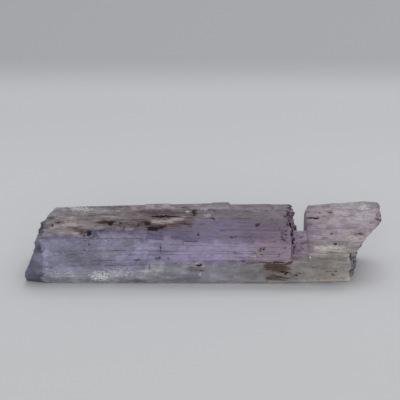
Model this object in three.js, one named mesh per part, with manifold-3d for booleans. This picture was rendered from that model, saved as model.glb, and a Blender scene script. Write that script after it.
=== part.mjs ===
// Kunzite crystal: one clear prism of spodumene, lying on a flat cleavage face.
//
// The prism is long, flattened and a little tapered. Ten long faces go round it, and each is
// striated: it steps up and down in narrow ledges that run along the crystal and end at
// staggered cross breaks. The left end is a steep slanting break, bevelled where it meets the
// front and the top. The right end is splintery, and its upper part overhangs. A slot with a
// knobbly left wall is broken out of the top near the right end, and the neck under it lies a
// little deeper than the faces beside it.
//
// Millimetres. +X runs along the crystal, +Y from its front to its back, +Z up. The origin
// is the middle of its footprint, on the surface that it lies on.
import * as THREE from "three";
import { mergeVertices } from "three/addons/utils/BufferGeometryUtils.js";
import Module from "manifold-3d";

const wasm = await Module();
wasm.setup();

// ---- Driving dimensions ----

const BLANK_END = 42; // the prism is made this long either way, then its ends are broken off
const LEDGE_LEVELS = 4; // a ledge lies 0 to 3 growth steps under its face
const LEDGE_CHANGE = 0.5; // chance that a ledge changes level at a cross break
const RISER = 0.1; // width of the slope from one ledge to the next
const BREAK_SPACING = 4.8; // mean distance between the cross breaks of a ledge
const BREAK_JITTER = 3; // how far a cross break strays, in all
const BREAK_WIDTH = 0.25; // shortest slope at a cross break
const BREAK_TAPER = 1; // a break tapers off over up to this much more

// The long faces in order round the prism, from the foot of the front. Each has the ridge it
// starts at, given as [x, y, z] wherever the ridge bends, the number of ledges across it and
// the height of its growth steps.
const FACES = [
  { name: "front foot", ledges: 1, step: 0, ridge: [[0, -7.1, 0]] },
  {
    name: "lower front",
    ledges: 3,
    step: 0.09,
    ridge: [
      [-24, -8.3, 1.35],
      [-14, -8.0, 1.7],
      [8, -8.05, 1.6],
      [20, -8.3, 1.2],
    ],
  },
  {
    name: "front",
    ledges: 7,
    step: 0.08,
    ridge: [
      [-34, -8.7, 3.0],
      [-10, -8.7, 3.6],
      [2, -8.65, 5.2],
      [30, -8.5, 5.7],
    ],
  },
  {
    name: "upper",
    ledges: 8,
    step: 0.11,
    ridge: [
      [-36, -6.1, 12.0],
      [-12, -6.1, 11.8],
      [1, -6.4, 10.5],
      [19, -6.5, 9.8],
      [24.2, -7.6, 8.0],
      [34, -7.7, 7.8],
    ],
  },
  {
    name: "top",
    ledges: 4,
    step: 0.1,
    ridge: [
      [-36, 2.2, 13.1],
      [-8, 2.2, 13.6],
      [19, 2.1, 13.3],
      [24.2, 2.0, 13.0],
      [36, 2.2, 13.7],
    ],
  },
  {
    name: "upper back",
    ledges: 4,
    step: 0.1,
    ridge: [
      [-33, 4.7, 13.75],
      [5.6, 4.9, 14.75],
      [6.1, 4.9, 14.2],
      [19, 4.9, 14.25],
      [24.2, 4.8, 13.85],
      [31, 4.8, 14.45],
      [36, 4.9, 14.95],
      [40, 4.8, 14.75],
    ],
  },
  {
    name: "back",
    ledges: 4,
    step: 0.11,
    ridge: [
      [-30, 7.6, 10.6],
      [10, 7.8, 11.0],
      [34, 7.4, 11.4],
    ],
  },
  {
    name: "lower back",
    ledges: 3,
    step: 0.11,
    ridge: [
      [-30, 8.6, 5.2],
      [12, 8.7, 4.8],
      [34, 8.4, 5.6],
    ],
  },
  {
    name: "back foot",
    ledges: 1,
    step: 0.08,
    ridge: [
      [-30, 7.7, 1.6],
      [12, 7.5, 1.4],
      [34, 7.7, 1.9],
    ],
  },
  { name: "base", ledges: 1, step: 0, ridge: [[0, 5.6, 0]] },
];
const FRONT = FACES.findIndex((face) => face.name === "front");
const UPPER = FRONT + 1;

// The ends slant back along one line of sight, so from the front at this elevation each shows
// as a single outline: x for how far up such a view a point lies, counted from the front foot.
const VIEW_ELEVATION = THREE.MathUtils.degToRad(25);
const FOOT_Y = -7.1;
const LEFT_OUTLINE = [
  [0, -38.9],
  [1.35, -39.5],
  [5, -38.9],
  [8.8, -37.7],
  [11.7, -36.9],
  [13.7, -36.7],
  [14.5, -35.8],
  [16, -34.9],
  [17.1, -33.6],
  [17.6, -32.6],
];
const RIGHT_OUTLINE = [
  [0.2, 30.6],
  [0.6, 31.3],
  [1.8, 32.8],
  [2.5, 33.4],
  [4.7, 33.9],
  [6.6, 33.7],
  [7.1, 33.8],
  [8.7, 34.9],
  [10.4, 36.0],
  [12.5, 38.5],
  [14.2, 40.0],
  [16.2, 39.6],
  [17.4, 39.9],
  [18.3, 39.2],
];
// Where an end's bevels start on the front and on the top, and how fast they run out to the
// outline for each millimetre of depth.
const LEFT_BEVEL = { front: -36.6, top: -34.9, slope: 1.4 };
const RIGHT_BEVEL = { front: 31.9, top: 38.8, slope: 1.2 };
const BREAK_GRAIN = 0.95; // spacing of the lumps on a broken end
const BREAK_ROUGHNESS = 0.3; // how far they stand out or in
const BREAK_BLOCK = { depth: 20, height: 18 }; // what an end's break is cut from

// The slot in the top. Its walls are given as x for the height above its floor.
const SLOT_LEFT = [
  [0, 19.6],
  [0.8, 18.6],
  [3.3, 18.0],
  [5.2, 18.3],
  [6.3, 18.5],
  [7, 18.0],
];
const SLOT_RIGHT = [
  [0, 22.7],
  [4.9, 22.8],
  [5.6, 23.1],
  [6.2, 23.6],
  [7.5, 25.2],
];
const SLOT_KNOBS = 0.35; // how far the knobs of the left wall stand out or in
const SLOT_SKEW = 0.25; // the left wall runs this much to the right towards the back
const SLOT_FLOOR = [-2.6, 11.1]; // y and z where the floor meets the neck's top
const SLOT_FALL = THREE.MathUtils.degToRad(33); // the floor falls away towards the back
const SLOT_SIZE = { length: 26, height: 12, grain: 1 };
const NECK_DEPTH = 0.8;
const NECK_STEPS = [19.75, 20.05, 22.3, 24.2]; // it steps in and comes out between these

// Hollows chipped into the faces, each an uneven flattened bite: the x of its middle, the face
// it's in and how far across that, then half its length, width and depth.
const HOLLOWS = [
  { x: -8.7, face: UPPER, across: 0.53, half: [4.9, 1.5, 0.55] },
  { x: -30.6, face: UPPER, across: 0.3, half: [2.7, 0.9, 0.45] },
  { x: -17.5, face: UPPER, across: 0.12, half: [2.4, 0.6, 0.35] },
  { x: -23.8, face: FRONT, across: 0.9, half: [0.6, 0.6, 0.4] },
  { x: -22.3, face: FRONT - 1, across: 0.6, half: [2.1, 1.2, 0.4] },
  { x: 1.2, face: FRONT - 1, across: 0.6, half: [0.7, 1.2, 0.35] },
  { x: 20.9, face: FRONT, across: 0.85, half: [0.7, 0.8, 0.9] },
  { x: 21.9, face: UPPER, across: 0.15, half: [0.6, 0.9, 0.95] },
  { x: 35.4, face: UPPER, across: 0.42, half: [1.6, 0.5, 0.35] },
  { x: 12.5, face: UPPER + 2, across: 0.6, half: [4.2, 1.1, 0.6] },
  { x: -19, face: UPPER + 3, across: 0.4, half: [5, 1.3, 0.6] },
];
const HOLLOW_SIDES = 9;
const HOLLOW_RINGS = 5;
const HOLLOW_UNEVEN = 0.22; // how much nearer or farther each corner of a bite may lie

// ---- Shape of the crystal ----

// A fixed number from 0 to 1 for each set of whole numbers.
function chance(...keys) {
  let mixed = 0x9e3779b9;
  for (const key of keys) {
    mixed = Math.imul(mixed ^ (key + 0x7f4a7c15), 0x85ebca6b);
    mixed ^= mixed >>> 13;
    mixed = Math.imul(mixed, 0xc2b2ae35);
    mixed ^= mixed >>> 16;
  }
  return (mixed >>> 0) / 2 ** 32;
}

// The values of a course at x, in straight runs between its bends and level beyond them.
function follow(course, x) {
  const next = course.findIndex((bend) => bend[0] > x);
  if (next === 0) return course[0].slice(1);
  if (next < 0) return course.at(-1).slice(1);
  const [from, to] = [course[next - 1], course[next]];
  const share = (x - from[0]) / (to[0] - from[0]);
  return from.slice(1).map((value, i) => value + share * (to[i + 1] - value));
}

// The two ridges that bound a face at x, each as [y, z].
function faceRidges(face, x) {
  return [face, (face + 1) % FACES.length].map((i) => follow(FACES[i].ridge, x));
}

// The point a share of the way across a face at x, and the face's inward direction there. The
// outline runs up the front and down the back, so inwards is a quarter turn from its course.
function onFace(face, share, x) {
  const [from, to] = faceRidges(face, x);
  const [dy, dz] = [to[0] - from[0], to[1] - from[1]];
  const width = Math.hypot(dy, dz);
  const point = [from[0] + share * dy, from[1] + share * dz];
  return { point, inwards: [dz / width, -dy / width], width };
}

// How many growth steps a ledge lies under its face, on the given stretch between breaks.
function ledgeLevel(face, ledge, stretch) {
  const changes = stretch === 0 || chance(face, ledge, stretch, 2) < LEDGE_CHANGE;
  if (!changes) return ledgeLevel(face, ledge, stretch - 1);
  return Math.floor(chance(face, ledge, stretch, 3) * LEDGE_LEVELS);
}

// How deep the neck steps in at x.
function neckDepth(x) {
  const [start, deep, rising, end] = NECK_STEPS;
  const into = THREE.MathUtils.smoothstep(x, start, deep);
  return NECK_DEPTH * into * (1 - THREE.MathUtils.smoothstep(x, rising, end));
}

// The section's outline points in order: the ridge that each face starts at, counted as its
// ledge 0, then both sides of every riser between two ledges.
function outlinePlaces() {
  return FACES.flatMap(({ ledges }, face) => {
    const riser = RISER / onFace(face, 0, 0).width;
    const places = [{ face, ledge: 0, share: 0 }];
    for (let edge = 1; edge < ledges; edge++) {
      const share = (edge + 0.6 * (chance(face, edge, 4) - 0.5)) / ledges;
      places.push({ face, ledge: edge, share: share - riser / 2 });
      places.push({ face, ledge: edge + 1, share: share + riser / 2 });
    }
    return places;
  });
}

// One outline point at x, on a stretch between breaks, as [x, y, z].
function outlinePoint({ face, ledge, share }, x, stretch) {
  const { point, inwards } = onFace(face, share, x);
  let depth = FACES[face].step * ledgeLevel(face, ledge, stretch);
  if (face === FRONT) depth += neckDepth(x) * share;
  if (face === UPPER) depth += neckDepth(x);
  return [x, point[0] + depth * inwards[0], point[1] + depth * inwards[1]];
}

// How far a point lies behind the front face, and how far under the upper and top faces, by
// the section at x.
function depths(x, y, z) {
  const [foot, shoulder] = faceRidges(FRONT, x);
  const [bevel, crest] = faceRidges(UPPER + 1, x);
  const frontCourse = [foot, shoulder].map(([ridgeY, ridgeZ]) => [ridgeZ, ridgeY]);
  const frontY = follow(frontCourse, z)[0];
  const topZ = follow([shoulder, bevel, crest], y)[0];
  return [Math.max(0, y - frontY), Math.max(0, topZ - z)];
}

// How far up the view of the outlines a point of the section lies.
function rise(y, z) {
  return Math.sin(VIEW_ELEVATION) * (y - FOOT_Y) + Math.cos(VIEW_ELEVATION) * z;
}

function leftEnd(y, z) {
  const [behind, under] = depths(LEFT_BEVEL.front, y, z);
  const bevels = [
    LEFT_BEVEL.front - LEFT_BEVEL.slope * behind,
    LEFT_BEVEL.top - LEFT_BEVEL.slope * under,
  ];
  return Math.max(...follow(LEFT_OUTLINE, rise(y, z)), ...bevels);
}

function rightEnd(y, z) {
  const [behind, under] = depths(RIGHT_BEVEL.front, y, z);
  const bevels = [RIGHT_BEVEL.top + RIGHT_BEVEL.slope * under];
  if (z < faceRidges(FRONT, RIGHT_BEVEL.front)[1][1]) {
    bevels.push(RIGHT_BEVEL.front + RIGHT_BEVEL.slope * behind);
  }
  return Math.min(...follow(RIGHT_OUTLINE, rise(y, z)), ...bevels);
}

// ---- The solid ----

// The nominal sections of the prism, each with the break it is next to: both sides of every
// break, and the bends of the form.
function stations() {
  const wanted = [];
  let stretch = 0;
  for (let x = -BLANK_END + 5; x < BLANK_END - 5; x += BREAK_SPACING) {
    wanted.push({ x: x - BREAK_WIDTH / 2, stretch, side: -1, near: stretch });
    wanted.push({ x: x + BREAK_WIDTH / 2, stretch: stretch + 1, side: 1, near: stretch });
    stretch += 1;
  }
  const bends = FACES.flatMap(({ ridge }) => ridge.map((bend) => bend[0]));
  const fixed = [-BLANK_END, BLANK_END, ...NECK_STEPS, ...bends.filter((x) => x !== 0)];
  for (const x of fixed) {
    if (wanted.some((other) => Math.abs(other.x - x) < BREAK_WIDTH)) continue;
    const before = wanted.filter((other) => other.side === 1 && other.x < x);
    wanted.push({ x, stretch: Math.max(0, ...before.map((other) => other.stretch)) });
  }
  return wanted.sort((a, b) => a.x - b.x);
}

// How far one ledge's break strays from its nominal place, at the given side of it.
function breakStray(face, ledge, { near, side }) {
  const middle = BREAK_JITTER * (chance(face, ledge, near, 5) - 0.5);
  return middle + side * 0.5 * BREAK_TAPER * chance(face, ledge, near, 6);
}

// The x of one ledge's points at every station. Breaks stray, and what lies between is
// shared out, but the neck and the blank ends stay put.
function strayedStations(face, ledge, nominal) {
  const anchors = nominal.filter(({ side }) => side).map((station) => {
    const nearNeck = station.x > NECK_STEPS[0] - 4 && station.x < NECK_STEPS[3] + 3;
    return [station.x, nearNeck ? 0 : breakStray(face, ledge, station)];
  });
  const course = [[-BLANK_END, 0], ...anchors, [BLANK_END, 0]];
  return nominal.map(({ x }) => x + (x > -BLANK_END ? follow(course, x)[0] : 0));
}

function prismGeometry() {
  const places = outlinePlaces();
  const nominal = stations();
  const around = places.length;
  const columns = places.map((place) => {
    const courseX = strayedStations(place.face, place.ledge, nominal);
    return nominal.map(({ stretch }, i) => outlinePoint(place, courseX[i], stretch));
  });
  const points = nominal.flatMap((_, row) => columns.map((column) => column[row]));
  const triangles = [];
  for (let row = 0; row + 1 < nominal.length; row++) {
    for (let i = 0; i < around; i++) {
      const [a, b] = [row * around + i, row * around + ((i + 1) % around)];
      triangles.push(a, a + around, b, b, a + around, b + around);
    }
  }
  points.push([-BLANK_END, 0, 6], [BLANK_END, 0, 6]);
  const last = (nominal.length - 1) * around;
  for (let i = 0; i < around; i++) {
    const next = (i + 1) % around;
    triangles.push(points.length - 2, i, next, points.length - 1, last + next, last + i);
  }
  const geometry = new THREE.BufferGeometry();
  geometry.setAttribute("position", new THREE.Float32BufferAttribute(points.flat(), 3));
  geometry.setIndex(triangles);
  return geometry;
}

// A block with a grid of points on its walls. Each point of its left and right wall is moved
// to the x that its function gives for the point's own y and z.
function wallBlock({ depth, height, grain, leftWall, rightWall }) {
  const [across, up] = [depth, height].map((size) => Math.round(size / grain));
  const geometry = new THREE.BoxGeometry(2, depth, height, 1, across, up);
  geometry.translate(0, 0, height / 2);
  const at = geometry.attributes.position;
  for (let i = 0; i < at.count; i++) {
    const wall = at.getX(i) < 0 ? leftWall : rightWall;
    at.setX(i, wall(at.getY(i), at.getZ(i)));
  }
  return geometry;
}

// The lump at one point, from -1 to 1: the same wherever the point comes up.
function lump(point, grain, seed) {
  return 2 * chance(...point.map((value) => Math.round(value / grain) + 50), seed) - 1;
}

function endBlock(endAt, side) {
  const grain = BREAK_GRAIN;
  const broken = (y, z) => endAt(y, z - 1) + BREAK_ROUGHNESS * lump([y, z], grain, side + 10);
  const clear = () => side * (BLANK_END + 5);
  const [leftWall, rightWall] = side < 0 ? [clear, broken] : [broken, clear];
  const geometry = wallBlock({ ...BREAK_BLOCK, grain, leftWall, rightWall });
  return geometry.translate(0, 0, -1);
}

function slotBlock() {
  const { length, height, grain } = SLOT_SIZE;
  const leftWall = (y, z) => {
    const knob = SLOT_KNOBS * lump([y, z], grain, 20);
    return follow(SLOT_LEFT, z)[0] + SLOT_SKEW * Math.max(y, 0) + knob;
  };
  const rightWall = (y, z) => follow(SLOT_RIGHT, z)[0];
  const geometry = wallBlock({ depth: length, height, grain, leftWall, rightWall });
  geometry.rotateX(-SLOT_FALL);
  return geometry.translate(0, SLOT_FLOOR[0], SLOT_FLOOR[1]);
}

function hollowGeometry({ x, face, across, half }) {
  const { point, inwards } = onFace(face, across, x);
  const geometry = new THREE.SphereGeometry(1, HOLLOW_SIDES, HOLLOW_RINGS);
  const at = geometry.attributes.position;
  for (let i = 0; i < at.count; i++) {
    const corner = new THREE.Vector3().fromBufferAttribute(at, i);
    corner.multiplyScalar(1 + HOLLOW_UNEVEN * lump(corner.toArray(), 0.05, Math.round(x)));
    at.setXYZ(i, ...corner);
  }
  geometry.rotateX(Math.PI / 2);
  geometry.scale(...half);
  geometry.rotateX(Math.atan2(inwards[0], -inwards[1]));
  const middle = point.map((value, i) => value + neckDepth(x) * inwards[i]);
  return geometry.translate(x, ...middle);
}

function solidOf(geometry) {
  for (const name of ["normal", "uv"]) geometry.deleteAttribute(name);
  const merged = mergeVertices(geometry, 1e-4);
  return new wasm.Manifold(
    new wasm.Mesh({
      numProp: 3,
      vertProperties: merged.attributes.position.array,
      triVerts: new Uint32Array(merged.index.array),
    }),
  );
}

function geometryOf(solid) {
  const mesh = solid.getMesh();
  const geometry = new THREE.BufferGeometry();
  geometry.setAttribute("position", new THREE.BufferAttribute(mesh.vertProperties, mesh.numProp));
  geometry.setIndex(new THREE.BufferAttribute(mesh.triVerts, 1));
  geometry.computeVertexNormals();
  geometry.computeBoundingBox();
  const middle = geometry.boundingBox.getCenter(new THREE.Vector3());
  return geometry.translate(-middle.x, -middle.y, -geometry.boundingBox.min.z);
}

function crystalSolid() {
  const blocks = [endBlock(leftEnd, -1), endBlock(rightEnd, 1), slotBlock()];
  const tools = [...blocks, ...HOLLOWS.map(hollowGeometry)].map(solidOf);
  return tools.reduce((left, tool) => left.subtract(tool), solidOf(prismGeometry()));
}

const crystal = new THREE.Mesh(
  geometryOf(crystalSolid()),
  new THREE.MeshStandardMaterial({
    color: 0x9a8fb0,
    roughness: 0.25,
    metalness: 0,
    transparent: true,
    opacity: 0.75,
    flatShading: true,
  }),
);
crystal.name = "kunzite_crystal";

const part = new THREE.Group();
part.add(crystal);

export default part;
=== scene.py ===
"""Kunzite crystal on a pale sheet of paper: one clear, striated prism of spodumene, lilac at its
slanting left end, violet in the middle and pink at its splintery right end."""

import bpy
import numpy as np
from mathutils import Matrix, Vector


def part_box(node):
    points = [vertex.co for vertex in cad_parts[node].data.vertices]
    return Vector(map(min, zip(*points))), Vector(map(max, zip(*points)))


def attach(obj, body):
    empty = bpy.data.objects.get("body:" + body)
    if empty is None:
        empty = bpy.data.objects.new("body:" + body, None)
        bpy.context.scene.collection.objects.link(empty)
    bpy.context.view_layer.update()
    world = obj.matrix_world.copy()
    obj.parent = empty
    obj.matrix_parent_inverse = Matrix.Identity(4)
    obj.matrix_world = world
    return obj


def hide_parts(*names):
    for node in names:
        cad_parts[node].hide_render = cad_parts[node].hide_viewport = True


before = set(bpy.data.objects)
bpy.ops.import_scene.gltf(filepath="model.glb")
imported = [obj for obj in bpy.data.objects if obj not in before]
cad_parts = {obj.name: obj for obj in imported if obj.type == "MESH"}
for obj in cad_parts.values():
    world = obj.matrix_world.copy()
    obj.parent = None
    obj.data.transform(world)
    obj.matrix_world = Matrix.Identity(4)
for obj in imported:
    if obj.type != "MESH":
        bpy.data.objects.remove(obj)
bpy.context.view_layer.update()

# ---- Long faces ----
# The prism grew as ten long faces round one axis. Each grew in ledges, so it is striated
# along the crystal, and each ledge steps up or down at breaks that cross it.
# Sizes are in millimetres until the mesh is made: x along, y from front to back, z up.

# Each face: ledges across it, height of one growth step, and the ridge that it starts at,
# given as (x, y, z) wherever that ridge bends. They go round from the foot of the front.
FRONT_FOOT, LOWER_FRONT, FRONT, UPPER, TOP, UPPER_BACK, BACK, LOWER_BACK, BACK_FOOT, BASE = range(10)
LONG_FACES = {
    FRONT_FOOT: (1, 0.0, [(18, -7.1, 0), (28, -6.2, 0), (34, -5.4, 0)]),
    LOWER_FRONT: (3, 0.09, [(-24, -8.3, 1.35), (-14, -8.0, 1.7), (8, -8.05, 1.6), (20, -8.3, 1.2)]),
    FRONT: (7, 0.08, [(-34, -8.7, 3.0), (-10, -8.7, 3.6), (2, -8.65, 5.2), (30, -8.5, 5.7)]),
    UPPER: (8, 0.11, [
        (-36, -6.1, 12), (-12, -6.1, 11.8), (1, -6.4, 10.5), (19, -6.5, 9.8), (24.2, -7.6, 8),
        (34, -7.7, 7.8),
    ]),
    TOP: (4, 0.1, [
        (-36, 2.2, 13.1), (-8, 2.2, 13.6), (19, 2.1, 13.3), (24.2, 2, 13), (36, 2.2, 13.7),
    ]),
    UPPER_BACK: (4, 0.1, [
        (-33, 4.7, 13.55), (5.6, 4.9, 14.5), (6.1, 4.9, 13.95), (19, 4.9, 14.1), (24.2, 4.8, 13.95),
        (31, 4.8, 14.55), (36, 4.9, 14.95), (40, 4.8, 14.75),
    ]),
    BACK: (4, 0.11, [(-30, 7.6, 10.6), (10, 7.8, 11.0), (34, 7.4, 11.4)]),
    LOWER_BACK: (3, 0.11, [(-30, 8.6, 5.2), (12, 8.7, 4.8), (34, 8.4, 5.6)]),
    BACK_FOOT: (1, 0.08, [(-30, 7.7, 1.6), (12, 7.5, 1.4), (34, 7.7, 1.9)]),
    BASE: (1, 0.0, [(0, 5.6, 0)]),
}
# How many depths a ledge can lie at, the share of breaks that change it, how far the edge between
# two ledges strays, as a share of a ledge's width, and the width of the riser on it.
LEDGE_LEVELS = 4
LEDGE_CHANGE = 0.5
LEDGE_STRAY = 0.6
RISER = 0.1
# Where the breaks lie along the crystal, how far they stray, and their least and added width.
BREAKS = -37 + 4.8 * np.arange(16)
BREAK_JITTER = 3.0
BREAK_WIDTH = 0.25
BREAK_TAPER = 1.0
# Where the upper face's smooth stretch starts, is full, fades and ends, and its ledges' loss.
SMOOTH_STRETCH = (-4, 2, 15, 19)
SMOOTHING = 0.6
# How deep the neck under the slot steps in, where it starts, is deep, rises and ends, how far
# that strays from ledge to ledge, and how far to its left and right no break strays.
NECK_DEPTH = 0.8
NECK_STEPS = (19.75, 20.05, 22.3, 24.2)
NECK_STRAY = 0.9
NECK_MARGIN = (4, 3)


def chance(*keys):
    """A fixed number from 0 to 1 for each set of whole numbers: every key in turn is stirred
    into one 32-bit word by shifts and odd multipliers."""
    word, low = np.uint64(0x9E3779B9), np.uint64(0xFFFFFFFF)
    for key in keys:
        word = word ^ ((np.asarray(key, np.int64) + 0x7F4A7C15).astype(np.uint64) & low)
        word = word * np.uint64(0x85EBCA6B) & low
        word = word ^ (word >> np.uint64(13))
        word = word * np.uint64(0xC2B2AE35) & low
        word = word ^ (word >> np.uint64(16))
    return word / 2.0**32


def follow(course, at):
    """The values of a course, a list of (place, value...), in straight runs between its bends
    and level beyond them."""
    table = np.array(course, float)
    return [np.interp(at, table[:, 0], column) for column in table.T[1:]]


def smooth(x, low, high):
    """0 below low, 1 above high, and 3t^2 - 2t^3 between."""
    t = np.clip((x - low) / (high - low), 0, 1)
    return t * t * (3 - 2 * t)


def ledge_levels(face, ledge):
    """How many growth steps a ledge lies under its face, for each stretch between breaks."""
    stretches = np.arange(len(BREAKS) + 1)
    changes = chance(face, ledge, stretches, 2) < LEDGE_CHANGE
    changes[0] = True
    latest = np.maximum.accumulate(np.where(changes, stretches, 0))
    return np.floor(chance(face, ledge, latest, 3) * LEDGE_LEVELS)


def ledge_places(face, ledge):
    """Where a ledge's breaks begin and end: each strays along the crystal by its own amount,
    save near the neck, and opens by up to its taper."""
    near = np.arange(len(BREAKS))
    sides = np.array([-1, 1])
    places = BREAKS[:, None] + sides * BREAK_WIDTH / 2
    stray = BREAK_JITTER * (chance(face, ledge, near, 5)[:, None] - 0.5)
    stray = stray + sides * 0.5 * BREAK_TAPER * chance(face, ledge, near, 6)[:, None]
    stray[(places > NECK_STEPS[0] - NECK_MARGIN[0]) & (places < NECK_STEPS[3] + NECK_MARGIN[1])] = 0
    return (places + stray).ravel()


def ledge_depth(face, ledge, x):
    """Depth of a ledge under its face at x: level between breaks, sloped across each. The upper
    face is smoother in its middle."""
    levels = ledge_levels(face, ledge)
    table = np.stack([levels[:-1], levels[1:]], axis=1)
    depth = LONG_FACES[face][1] * np.interp(x, ledge_places(face, ledge), table.ravel())
    if face != UPPER:
        return depth
    start, full, fading, end = SMOOTH_STRETCH
    return depth * (1 - SMOOTHING * smooth(x, start, full) * (1 - smooth(x, fading, end)))


def neck_depth(x):
    """How deep the neck steps in at x."""
    start, deep, rising, end = NECK_STEPS
    return NECK_DEPTH * smooth(x, start, deep) * (1 - smooth(x, rising, end))


def across_face(face, share, x):
    """The point a share of the way across a face at x, the face's inward direction and its
    width. The section runs up the front and down the back, so inwards is a quarter turn."""
    ridges = [LONG_FACES[i % len(LONG_FACES)][2] for i in (face, face + 1)]
    (from_y, from_z), (to_y, to_z) = [follow(ridge, x) for ridge in ridges]
    dy, dz = to_y - from_y, to_z - from_z
    width = np.hypot(dy, dz)
    return from_y + share * dy, from_z + share * dz, dz / width, -dy / width, width


# The section's corners in order, as (face, ledge, share): the ridge that each face starts at,
# counted as its ledge 0, then both sides of every riser between two ledges.
corners = []
for face, (ledges, _, _) in LONG_FACES.items():
    half_riser = RISER / 2 / across_face(face, 0, 0.0)[4]
    corners.append((face, 0, 0.0))
    for edge in range(1, ledges):
        share = (edge + LEDGE_STRAY * (chance(face, edge, 4) - 0.5)) / ledges
        corners += [(face, edge, share - half_riser), (face, edge + 1, share + half_riser)]
next_corners = corners[1:] + corners[:1]


def corner_path(corner, x, bare=False):
    """y and z of one corner of the section at x: its place on the face, sunk by its ledge's
    depth and, unless bare, by the neck's, which starts at its own place on each ledge."""
    face, ledge, share = corner
    y, z, in_y, in_z, _ = across_face(face, share, x)
    depth = ledge_depth(face, ledge, x)
    if face in (FRONT, UPPER) and not bare:
        neck = neck_depth(x + NECK_STRAY * (chance(face, ledge, 8) - 0.5))
        depth = depth + neck * (share if face == FRONT else 1)
    return y + depth * in_y, z + depth * in_z


# Columns of the surface's grid: every run between two corners is split into strips, which are
# finer on the front and the top.
FINE_STRIP, WIDE_STRIP = 0.2, 0.3
BASE_STRIPS = 14
column_from, column_share = [], []
for i, (corner, next_corner) in enumerate(zip(corners, next_corners)):
    here, there = [np.array(corner_path(one, np.array(0.0))) for one in (corner, next_corner)]
    strip = FINE_STRIP if corner[0] <= TOP else WIDE_STRIP
    strips = max(1, round(float(np.hypot(*(there - here))) / strip))
    strips = BASE_STRIPS if corner[0] == BASE else strips
    column_from += [i] * strips
    column_share += list(np.arange(strips) / strips)
column_from, column_share = np.array(column_from), np.array(column_share)
column_face = np.array([corners[i][0] for i in column_from])
COLUMNS = len(column_from)


def section(x, bare=False):
    """y and z of the surface for an array x of rows by columns: each column lies a share of
    the way between two corners' paths."""
    y, z = np.empty_like(x), np.empty_like(x)
    for i, both in enumerate(zip(corners, next_corners)):
        mine = np.flatnonzero(column_from == i)
        (y_a, z_a), (y_b, z_b) = [corner_path(corner, x[:, mine], bare) for corner in both]
        y[:, mine] = y_a + column_share[mine] * (y_b - y_a)
        z[:, mine] = z_a + column_share[mine] * (z_b - z_a)
    return y, z


# ---- Broken ends ----
# Both ends are breaks that slant back along one line of sight. The left one is steep and
# bevelled on its front and top edges. The right one is splintery, and its upper part overhangs.

# Each break's outline, as it is seen from the front and a little from above: (how far up, x).
VIEW_ELEVATION = np.radians(25)
FOOT_Y = -7.1
LEFT_OUTLINE = [
    (0, -39.7), (1.35, -39.9), (5, -38.4), (8.8, -37.3), (11.7, -36.5), (13.5, -36.4), (14.1, -35.2),
    (15.5, -34.9), (16.4, -34), (17.2, -33.1), (17.6, -32.4),
]
RIGHT_OUTLINE = [
    (0, 31.8), (0.4, 32.2), (0.9, 32.5), (1.8, 33.2), (2.5, 33.5), (4.7, 33.9), (6.6, 33.7),
    (7.1, 33.8), (8.7, 34.9), (10.4, 36), (12.5, 38.5), (14.2, 40), (16.2, 39.6), (17.4, 39.9),
    (18.3, 39.2),
]
# Each end's bevels on the front and the top: where one starts, and how far it runs along x for a
# millimetre of depth; and how far in the left break lies from its outline and bevels.
LEFT_BEVELS = ((-34.9, -4.5), (-34.9, -2.4))
RIGHT_BEVELS = ((32.3, 0.55), (38.8, 1.2))
LEFT_INSET = 0.4
# Depths of a break's lumps, splinters, blocks and teeth, the widths of a block and of a tooth,
# and the seeds of both ends.
COARSE_LUMPS, FINE_LUMPS, BLOCK_DEPTH, TEETH_DEPTH = 0.3, 0.06, 0.2, 0.17
BLOCK = (1.9, 1.3)
TOOTH = 1.5
LEFT_SEED, RIGHT_SEED = 9, 11
KEY_SHIFT = 50  # added to a place's whole numbers, the keys of chance


def turned(y, z, angle):
    """A point of a section, turned by an angle round the origin."""
    return y * np.cos(angle) - z * np.sin(angle), y * np.sin(angle) + z * np.cos(angle)


def rise(y, z):
    """How far up the view of the outlines a point lies."""
    return turned(y - FOOT_Y, z, VIEW_ELEVATION)[1]


def lumps(a, b, span_a, span_b, cells, grain, seed):
    """Lumps from -1 to 1 over the plane of a and b, straight between the points of a grid."""
    keys, steps, shares = [], [], []
    for at, (start, end), count in zip((a, b), (span_a, span_b), cells):
        nodes = start + (end - start) * np.arange(count + 1) / count
        keys.append(np.floor(nodes / grain + 0.5).astype(int) + KEY_SHIFT)
        at = np.clip((at - start) / (end - start) * count, 0, count - 1e-6)
        steps.append(at.astype(int))
        shares.append(at - steps[-1])
    height = 2 * chance(keys[0][:, None], keys[1], seed) - 1
    (i, j), (u, v) = steps, shares
    low = height[i, j] * (1 - u) + height[i + 1, j] * u
    high = height[i, j + 1] * (1 - u) + height[i + 1, j + 1] * u
    return low * (1 - v) + high * v


def break_lumps(y, z, seed):
    """The lumps of a broken end: coarse ones a millimetre across, and fine splinters on them."""
    coarse = lumps(y, z + 1, (-10, 10), (0, 18), cells=(21, 19), grain=0.95, seed=seed)
    fine = lumps(y + z, y - z, (-30, 30), (-30, 30), cells=(150, 150), grain=0.4, seed=seed + 30)
    return COARSE_LUMPS * coarse - FINE_LUMPS * (1 + fine)


def zigzag(t):
    """1 in the middle of each whole step of t and 0 at its ends, straight between."""
    return 1 - 2 * np.abs(t - np.floor(t) - 0.5)


def teeth(up):
    """The sharpest knobs of a break, from -1 to 1, which run through it from the front: a zigzag
    of teeth, each of its own height, with a half as wide one on top."""
    wide, narrow = up / TOOTH, 2 * up / TOOTH + 0.3
    height = 0.3 + 0.7 * chance(np.floor(wide) + KEY_SHIFT, 80)
    return 1.5 * (height * zigzag(wide)) + 0.5 * zigzag(narrow) - 1


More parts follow.
